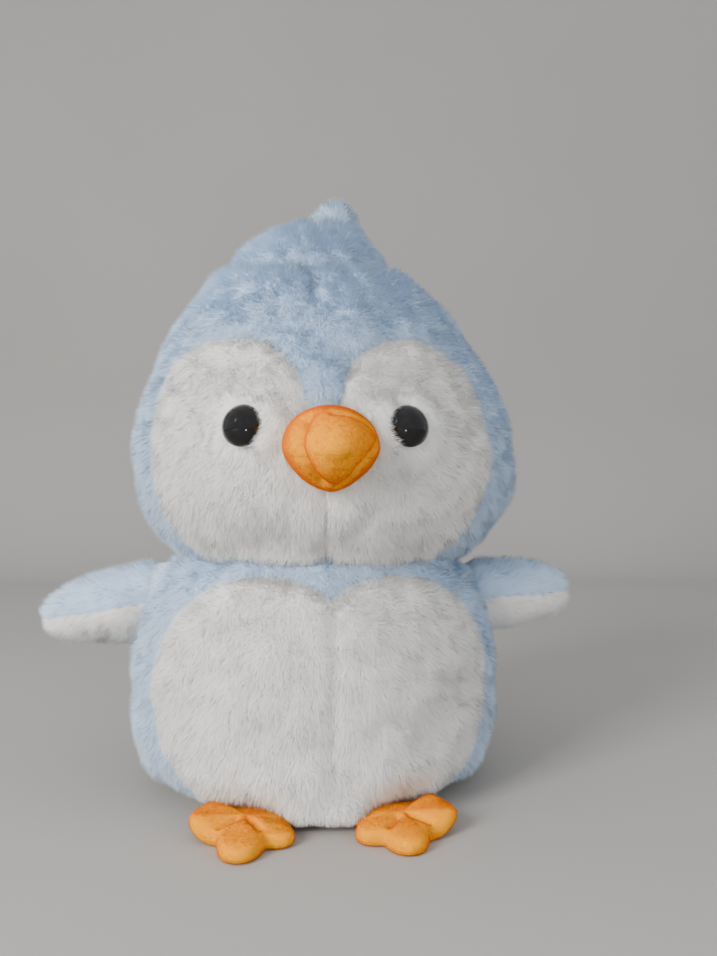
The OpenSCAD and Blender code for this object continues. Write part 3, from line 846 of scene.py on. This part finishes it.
# Each foot's middle, and the turn outwards from the front, the reach and the breadth of its three toes
FEET = {
    LEFT: ((-32, -77), [(76, 26, 36), (0, 35, 32), (-50, 29, 28)]),
    RIGHT: ((40, -76), [(80, 26, 36), (2, 31, 32), (-48, 27, 28)]),
}
# The height and the size of each ring of a foot, as shares of the whole, up from its sole
FOOT_RINGS = [(0.0, 0.9), (0.0, 0.97), (0.3, 1.0), (0.6, 0.985), (0.8, 0.94), (0.91, 0.86), (0.96, 0.72),
              (0.99, 0.52), (1.0, 0.3), (1.0, 0.12)]
PUCKERS = 30
FOOT_THICK = 15 * MM - 6 * MM
FOOT_HEEL_Y = -62 * MM
FOOT_SOLE_Z = 1.6 * MM
OUTER_TOE_LIFT = 4.5 * MM
# In millimetres: the reach between the toes, how far forward a foot is highest, and the reach of its folds
FOOT_REACH = 20.5
FOOT_AHEAD = 4
WEB_REACH = 17


def toe_reach(turn, toes):
    """The outline's reach at a turn outwards from the front, swelling over each toe."""
    reach = np.full(len(turn), FOOT_REACH)
    for middle, length, breadth in toes:
        away = (turn - middle + 180) % 360 - 180
        swell = np.clip(1 - (away / breadth) ** 2, 0, 1) ** 1.6
        reach = np.maximum(reach, FOOT_REACH + (length - FOOT_REACH) * swell)
    return reach * MM


def foot_rows(side):
    turn = np.linspace(-180, 180, 96, endpoint=False)
    (middle_x, middle_y), toes = FEET[side]
    reach = toe_reach(turn, toes)
    reach = (np.roll(reach, 1) + 2 * reach + np.roll(reach, -1)) / 4
    x = middle_x * MM + side * reach * np.sin(np.radians(turn))
    y = np.minimum(middle_y * MM - reach * np.cos(np.radians(turn)), FOOT_HEEL_Y)
    rows = []
    for height, size in FOOT_RINGS:
        toe = rising(reach, WEB_REACH * MM, 8 * MM) * size
        z = 0.5 * MM + FOOT_THICK * height * (1 - 0.2 * toe)
        z = z + OUTER_TOE_LIFT * rising(turn, 45, 30) * (turn < 130) * size
        middle = (middle_x * MM, (middle_y - FOOT_AHEAD) * MM)
        rows.append(np.stack([mixed(middle[0], x, size), mixed(middle[1], y, size), z], axis=-1))
    return rows


def foot_crease(side, turn):
    """A fold between two toes, running in over the foot from its outline."""
    middle_x, middle_y = FEET[side][0]
    share = np.linspace(0.35, 1.0, 40)
    x = middle_x + side * WEB_REACH * share * math.sin(math.radians(turn))
    y = middle_y - FOOT_AHEAD * (1 - share) - WEB_REACH * share * math.cos(math.radians(turn))
    return np.stack([x, y, 0 * share + 8], axis=-1) * MM, 2.4 * MM, 1.8 * MM


def neck_rows():
    pucker = 1.2 * MM * np.sin(np.radians(TURNS) * PUCKERS)
    rows = []
    for z, inset in ((118, 5.5), (120, 6.5), (NECK_Z / MM, 7.0), (124, 6.5), (127, 6.0)):
        ring = crease_point(TURNS, inset * MM + pucker)
        ring[:, 2] = z * MM
        rows.append(ring)
    return rows


# ---- Eyes: a lathed dome, its rim, and a ribbed shank ----

EYE_R = 10 * MM
EYE_SPHERE_R = 11.2 * MM
EYE_RIM_H = 0.9 * MM
EYE_SEAT = 0.9 * MM
EYE_TILT = 8
SHANK_R = 2 * MM
SHANK_L = 16 * MM
RIB_R = 2.3 * MM
RIB_W = 0.8 * MM
# Further than this behind an eye is the back of the head
BEHIND_EYE = -20 * MM
RIBS = [2 * MM, 4.5 * MM, 7 * MM]


def eye_place(side):
    """The frame of an eye: +Z points out of the face, and the origin is on the back of its dome."""
    facing = math.atan(math.tan(math.radians(EYE_TURN)) * HEAD_D / HEAD_W)
    turn = Matrix.Rotation(side * facing, 4, "Z") @ Matrix.Rotation(math.radians(90 - EYE_TILT), 4, "X")
    spot = Vector(head_point(side * EYE_TURN, np.float64(EYE_Z)))
    return Matrix.Translation(spot) @ turn @ Matrix.Translation((0, 0, EYE_SEAT))


def eye_profile():
    """Radius and height from the end of the shank, up its ribs and round the dome to its top."""
    profile = [(0.6 * SHANK_R, -SHANK_L), (SHANK_R, -SHANK_L)]
    for rib in RIBS:
        z = rib - SHANK_L
        profile += [(SHANK_R, z), (RIB_R, z), (RIB_R, z + RIB_W), (SHANK_R, z + RIB_W)]
    profile += [(SHANK_R, -0.2 * MM), (SHANK_R * 1.4, 0), (EYE_R * 0.96, 0), (EYE_R, 0.3 * MM)]
    centre = EYE_RIM_H - math.sqrt(EYE_SPHERE_R ** 2 - EYE_R ** 2)
    rim = math.acos(EYE_R / EYE_SPHERE_R)
    for t in np.linspace(rim, math.pi / 2 - 0.04, 22):
        profile.append((EYE_SPHERE_R * math.cos(t), centre + EYE_SPHERE_R * math.sin(t)))
    return profile


def eye_rows(side):
    turn = np.linspace(0, 2 * math.pi, 64, endpoint=False)
    place = np.array(eye_place(side))
    rows = []
    for radius, height in eye_profile():
        ring = np.stack([radius * np.cos(turn), radius * np.sin(turn), 0 * turn + height], axis=1)
        rows.append(ring @ place[:3, :3].T + place[:3, 3])
    return rows


EYE_PLACES = {side: eye_place(side) for side in (LEFT, RIGHT)}


def eye_local(points, side):
    place = np.array(EYE_PLACES[side])
    return (points - place[:3, 3]) @ place[:3, :3]


def near_eye(points, side):
    """Each point's distance from an eye's axis, its side (+1 is the nose's), and if it is in front."""
    local = eye_local(points, side)
    away = np.hypot(local[:, 0], local[:, 1])
    return away, -side * local[:, 0] / np.maximum(away, 1e-9), local[:, 2] > BEHIND_EYE


# ---- Make the stuffed parts ----


def flipper_seam(side):
    """The seam round the edge of a flipper, where its top meets its underside."""
    rows = np.array(flipper_rows(side))
    return np.concatenate([rows[:, 0], rows[:, rows.shape[1] // 2]])


def foot_creases(side):
    toes = FEET[side][1]
    return [foot_crease(side, (toes[k][0] + toes[k + 1][0]) / 2) for k in range(2)]


def foot_seam(side):
    return np.array(foot_rows(side))[1]


def lines_of(seams):
    """The points of the seams that are deep enough to show."""
    return np.concatenate([line for line, depth, width in seams if depth > MM])


HEAD_LINES = lines_of(HEAD_SEAMS)
BODY_LINES = lines_of(BODY_SEAMS)
CREST_LINE = head_point(TURNS, crest_seam(TURNS), PILE)
CREASE = crease_point(np.linspace(-180, 180, 240), PILE)

BEAK_ROOT = beak_rows()[0]
rough = {}


def add_part(name, rows, held, cap):
    rough[name] = grid_mesh(f"rough_{name}", rows), held, cap


add_part("head", head_rows(), np.concatenate([HEAD_LINES, CREASE, BEAK_ROOT]), 3.0 * MM)
add_part("body", body_rows(), np.concatenate([BODY_LINES, CREASE]), 3.0 * MM)
add_part("beak", beak_rows(), BEAK_ROOT, 1.0 * MM)
for word, side in SIDES.items():
    rows = flipper_rows(side)
    add_part(f"flipper_{word}", rows, np.concatenate([rows[0], flipper_seam(side)]), 2.0 * MM)
    add_part(f"foot_{word}", foot_rows(side), foot_seam(side), 1.0 * MM)

fill(rough.values())
skins = {name: Skin(made) for name, (made, held, cap) in rough.items()}


def groove(skin, seams):
    """How far each point of a skin is pulled in by its seams."""
    depth = np.zeros(len(skin.points))
    for line, deep, width in seams:
        depth = np.maximum(depth, deep * np.exp(-(distance_to(skin.points, line) / width) ** 2))
    return -depth


# The folds only pull in what is within this height of their lines
FOLD_REACH = 4.5 * MM


def fold(skin, creases):
    """How far each point of a small part is pulled in by its folds, drawn on it before it is stuffed."""
    depth = np.zeros(len(skin.points))
    for line, deep, width in creases:
        tree = tree_of(line)
        gap = skin.points - line[[tree.find(point)[1] for point in skin.points]]
        above = (gap * skin.normals).sum(1)
        aside = np.linalg.norm(gap - skin.normals * above[:, None], axis=1)
        depth = np.maximum(depth, deep * np.exp(-(aside / width) ** 2) * (np.abs(above) < FOLD_REACH))
    return -depth


def lumps(points, seed):
    return (1.1 * ripple(points, 34 * MM, seed) + 0.5 * ripple(points, 13 * MM, seed + 1)) * MM


skins["head"].push(groove(skins["head"], HEAD_SEAMS) + lumps(skins["head"].points, 10))
skins["body"].push(groove(skins["body"], BODY_SEAMS) + lumps(skins["body"].points, 20))
skins["body"].points[:, 2] = np.maximum(skins["body"].points[:, 2], BASE_LOW)
skins["body"].find_normals()
for word, side in SIDES.items():
    skin = skins[f"flipper_{word}"]
    skin.push(0.6 * lumps(skin.points, 30))
    skin = skins[f"foot_{word}"]
    skin.push(fold(skin, foot_creases(side)) + 0.3 * lumps(skin.points, 40))
skins["beak"].push(fold(skins["beak"], BEAK_CREASES) + 0.2 * lumps(skins["beak"].points, 50))

# The cloth comes forward under the eyes, so that the pile round them reaches their rims.
EYE_LIFT = 2.2 * MM
NOSE_LIFT = 5.5 * MM
lift = np.zeros(len(skins["head"].points))
for side in (LEFT, RIGHT):
    away, towards, ahead = near_eye(skins["head"].points, side)
    rise = mixed(EYE_LIFT, NOSE_LIFT, smooth(1.6 * towards - 0.4) * rising(away, 6 * MM, 4 * MM))
    lift = np.maximum(lift, rise * (1 - rising(away, EYE_R, 14 * MM)) * ahead)
skins["head"].push(lift)

# ---- Where each piece stays: baked in place, but the beak's pieces ride on the head ----


def follow_head(piece):
    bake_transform(piece)


def follow_body(piece):
    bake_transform(piece)


def follow_flipper(word):
    ends = np.array([(FLIPPER_START, 0, FLIPPER_SEAM_Z), (FLIPPER_FREE, 0, FLIPPER_SEAM_Z)])
    ends = placed_flipper(ends, SIDES[word])
    return lambda piece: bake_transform(piece)


def follow_foot():
    return lambda piece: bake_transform(piece)


def follow_beak(piece):
    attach(piece, "head")


# ---- Panels of cloth, and the pile on them ----


CLOTH_THICK = 1.2 * MM


def everywhere(centres):
    return np.ones(len(centres), bool)


def dress(part, names, panel_of, follow, outside=everywhere):
    """Cuts a part's skin into its panels, each of which takes the place of the frame's own."""
    skin = skins[part]
    stuffing = [f"{part}_stuffing"]
    kinds = panel_of(skin.centres())
    shown = outside(skin.centres())
    for k, name in enumerate(names):
        slot = SLOTS[name]
        faces = np.nonzero((kinds == k) & shown)[0]
        piece = cloth_piece(f"skin_{name}", skin, faces, [CLOTHS[slot]], CLOTH_THICK)
        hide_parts(*([name] + (stuffing if k == 0 else [])))
        follow(piece)


def furnish(names, panel_of, follow, pile, floor=-1.0):
    """Grows a part's pile, as one piece for each panel."""
    kinds = panel_of(pile.roots)
    for k, name in enumerate(names):
        slot = SLOTS[name]
        piece = pile.object(f"fur_{name}", np.nonzero(kinds == k)[0], SHADES[slot], floor)
        follow(piece)


THINNED = 1
# The long and the short pile: strands to a square metre, and how they stand up and lean into their tufts
FUR = {"density": 5.5e6 * THINNED, "length": 5.6 * MM, "width": 0.24 * MM,
       "tuft": 4 * MM, "upright": 0.75, "clump": 0.12}
NAP = {"density": 14e6 * THINNED, "length": 0.9 * MM, "width": 0.13 * MM,
       "tuft": 2 * MM, "upright": 0.7, "clump": 0.05}


def combed(way):
    return lambda points: np.zeros_like(points) + way


BODY_COMB = combed((0, 0, -1))
NAP_COMB = combed((0, -1, -0.6))


def head_comb(points):
    """Down the head, out round each eye, and in over its rim on the side of the nose."""
    comb = np.zeros_like(points)
    comb[:, 2] = mixed(-1, 0, rising(points[:, 2], 292 * MM, 18 * MM))
    for side in (LEFT, RIGHT):
        away, towards, ahead = near_eye(points, side)
        local = eye_local(points, side)
        local[:, 2] = 0
        near = (1 - rising(away, EYE_R, 9 * MM)) * ahead
        push = mixed(2.2, -2.2, smooth(1.6 * towards - 0.3))
        outward = unit(local @ np.array(EYE_PLACES[side])[:3, :3].T)
        comb += outward * (near * push)[:, None]
    return comb


def flipper_comb(side):
    away = placed_flipper(np.array([(0, 0, 0), (1, 0, -0.3)]), side)
    return combed(away[1] - away[0])


def seam_keep(points, lines):
    """The share of its length that a strand has: less in the seams, where the short strands take the painted
    shade.
    """
    return mixed(0.7, 1, rising(distance_to(points, lines), 0, 4 * MM))


def head_keep(points):
    """Short strands in the seams, which take the painted shade, shortest along the crest's seam for a painted dark
    line, and none under the eyes or behind the beak.
    """
    crest = mixed(0.45, 1, rising(distance_to(points, CREST_LINE), 0, 5 * MM))
    factor = np.minimum(seam_keep(points, HEAD_LINES), crest)
    for side in (LEFT, RIGHT):
        away, towards, ahead = near_eye(points, side)
        factor = np.where((away < 0.86 * EYE_R) & ahead, 0, factor)
    across = (points[:, 0] - BEAK_X) / (BEAK_W / 2 - 2 * MM)
    up = (points[:, 2] - BEAK_Z) / (16 * MM)
    return np.where((across ** 2 + up ** 2 < 1) & (points[:, 1] < 0), 0, factor)


def body_keep(points):
    # Short strands in the seams and near the floor, which take the painted shade
    return seam_keep(points, BODY_LINES) * mixed(0.3, 1, rising(points[:, 2], 4 * MM, 8 * MM))


def flipper_keep(side):
    lines = flipper_seam(side)
    # Short strands in the seam and near the root, which take the painted shade
    return lambda points: seam_keep(points, lines) * rising(np.abs(points[:, 0]), FLIPPER_START, 6 * MM)


def nap_keep(creases):
    lines = lines_of(creases)
    # Short nap along the folds, which takes the painted shade
    return lambda points: mixed(0.6, 1, rising(distance_to(points, lines), 1.2 * MM, 2.4 * MM))


def clear_of_neck(centres):
    across = np.hypot(centres[:, 0] - HEAD_X / 2, centres[:, 1] * BODY_W / BODY_D)
    return across > 0.8 * CREASE_W / 2


def head_outside(centres):
    return (centres[:, 2] > NECK_Z + 4 * MM) | clear_of_neck(centres)


def body_outside(centres):
    return (centres[:, 2] < NECK_Z - 4 * MM) | clear_of_neck(centres)


def flipper_panel(side):
    return lambda points: np.where(drawn_flipper(points, side)[:, 2] > FLIPPER_SEAM_Z, 0, 1)


def foot_panel(points):
    return np.where(points[:, 2] > FOOT_SOLE_Z, 0, 1)


def beak_panel(points):
    return np.where(points[:, 2] > BEAK_SPLIT_Z, 0, 1)


def clothe(part, names, panel_of, follow, look, seed, comb, keep, floor=-1.0):
    dress(part, names, panel_of, follow)
    furnish(names, panel_of, follow, Pile(skins[part], look, seed, comb, keep), floor)


BEAK_PANELS = ["beak_upper", "beak_lower"]
dress("head", HEAD_PANELS, head_panel, follow_head, head_outside)
dress("body", BODY_PANELS, body_panel, follow_body, body_outside)
dress("beak", BEAK_PANELS, beak_panel, follow_beak)
head_pile = Pile(skins["head"], FUR, 100, head_comb, head_keep)
furnish(HEAD_PANELS, head_panel, follow_head, head_pile)
body_pile = Pile(skins["body"], FUR, 200, BODY_COMB, body_keep)
furnish(BODY_PANELS, body_panel, follow_body, body_pile, 0.3 * MM)
beak_pile = Pile(skins["beak"], NAP, 300, NAP_COMB, nap_keep(BEAK_CREASES))
furnish(BEAK_PANELS, beak_panel, follow_beak, beak_pile)
for word, side in SIDES.items():
    names = [f"flipper_{word}_top", f"flipper_{word}_under"]
    clothe(f"flipper_{word}", names, flipper_panel(side), follow_flipper(word),
           FUR, 400, flipper_comb(side), flipper_keep(side))
    names = [f"foot_{word}_upper", f"foot_{word}_sole"]
    clothe(f"foot_{word}", names, foot_panel, follow_foot(),
           NAP, 500, NAP_COMB, nap_keep(foot_creases(side)), 0.1 * MM)

# ---- Neck gather, eyes and washers ----

gather = grid_mesh("neck_gather", neck_rows(), capped=False)
gather.data.materials.append(CLOTHS["fur_blue"])
gather.modifiers.new("cloth", "SOLIDIFY").thickness = 1.5 * MM
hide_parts("neck_seam", "neck_stuffing")
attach(gather, "neck")

gloss = eye_plastic()
dull = washer_plastic()
for word, side in SIDES.items():
    dome = grid_mesh(f"dome_{word}", eye_rows(side))
    dome.data.materials.append(gloss)
    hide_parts(f"eye_{word}")
    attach(dome, "head")
    washer = frame["nodes"][f"eye_washer_{word}"]
    washer.data.materials.clear()
    washer.data.materials.append(dull)

# ---- Stage, lights and camera ----


def studio():
    """A pale floor that curves up into a pale wall."""
    front, bend_y, bend, top, half = -1.6, 0.9, 0.35, 2.0, 2.5
    profile = [(front, 0.0), (-0.4, 0.0), (0.2, 0.0)]
    for t in np.linspace(0, math.pi / 2, 24):
        profile.append((bend_y + bend * math.sin(t), bend * (1 - math.cos(t))))
    profile.append((bend_y + bend, top))
    across = np.linspace(-half, half, 9)
    points = np.array([(x, y, z) for y, z in profile for x in across])
    wide = len(across)
    i, j = np.meshgrid(np.arange(len(profile) - 1), np.arange(wide - 1), indexing="ij")
    corner = i * wide + j
    quads = np.stack([corner, corner + 1, corner + wide + 1, corner + wide], -1)
    color = (0.415, 0.40, 0.38)
    paper = principled("paper", color, **{"Roughness": 0.9})
    color_by(paper, add_noise(paper, 3), [(0.3, tinted(color, 0.98)), (0.7, tinted(color, 1.02))])
    add_bump(paper, [(add_noise(paper, 400), 0.05)], 0.5 * MM)
    floor = new_object("studio", points, quads.ravel(), np.arange(corner.size) * 4, None, [paper])


LIT_SPOT = Vector((0, 0, 0.16))


def area_light(name, place, width, height, power, color):
    data = bpy.data.lights.new(name, "AREA")
    data.shape = "RECTANGLE"
    data.size = width
    data.size_y = height
    data.energy = power
    data.color = color
    light = bpy.data.objects.new(name, data)
    bpy.context.scene.collection.objects.link(light)
    light.location = place
    light.rotation_euler = (LIT_SPOT - Vector(place)).to_track_quat("-Z", "Y").to_euler()
    return light


def light_room():
    key = area_light("key", (-0.95, -1.0, 0.62), 0.5, 0.8, 28, (1.0, 0.98, 0.95))
    fill = area_light("fill", (1.1, -0.8, 0.5), 0.9, 0.9, 4.0, (0.93, 0.96, 1.0))
    key.visible_glossy = False
    fill.visible_glossy = False
    area_light("window", (-0.95, -0.85, 0.85), 0.12, 0.34, 0.7, (1.0, 1.0, 1.0))
    area_light("glint", (0.03, -0.62, 0.04), 0.04, 0.02, 0.3, (1.0, 1.0, 1.0))
    world = bpy.data.worlds.new("room")
    world.use_nodes = True
    glow = world.node_tree.nodes["Background"]
    glow.inputs["Color"].default_value = (0.95, 0.97, 1.0, 1)
    glow.inputs["Strength"].default_value = 0.82
    bpy.context.scene.world = world


# Matched to the outline in the photo
SENSOR_W, LENS = 36, 30.13
CAMERA_PLACE = (0.0035, -0.45, 0.158)
CAMERA_TILT, CAMERA_TURN = 90.79, -2.54


def set_camera():
    data = bpy.data.cameras.new("camera")
    data.sensor_width = SENSOR_W
    data.lens = LENS
    camera = bpy.data.objects.new("camera", data)
    bpy.context.scene.collection.objects.link(camera)
    camera.location = CAMERA_PLACE
    camera.rotation_euler = (math.radians(CAMERA_TILT), 0, math.radians(CAMERA_TURN))
    bpy.context.scene.camera = camera


studio()
light_room()
set_camera()
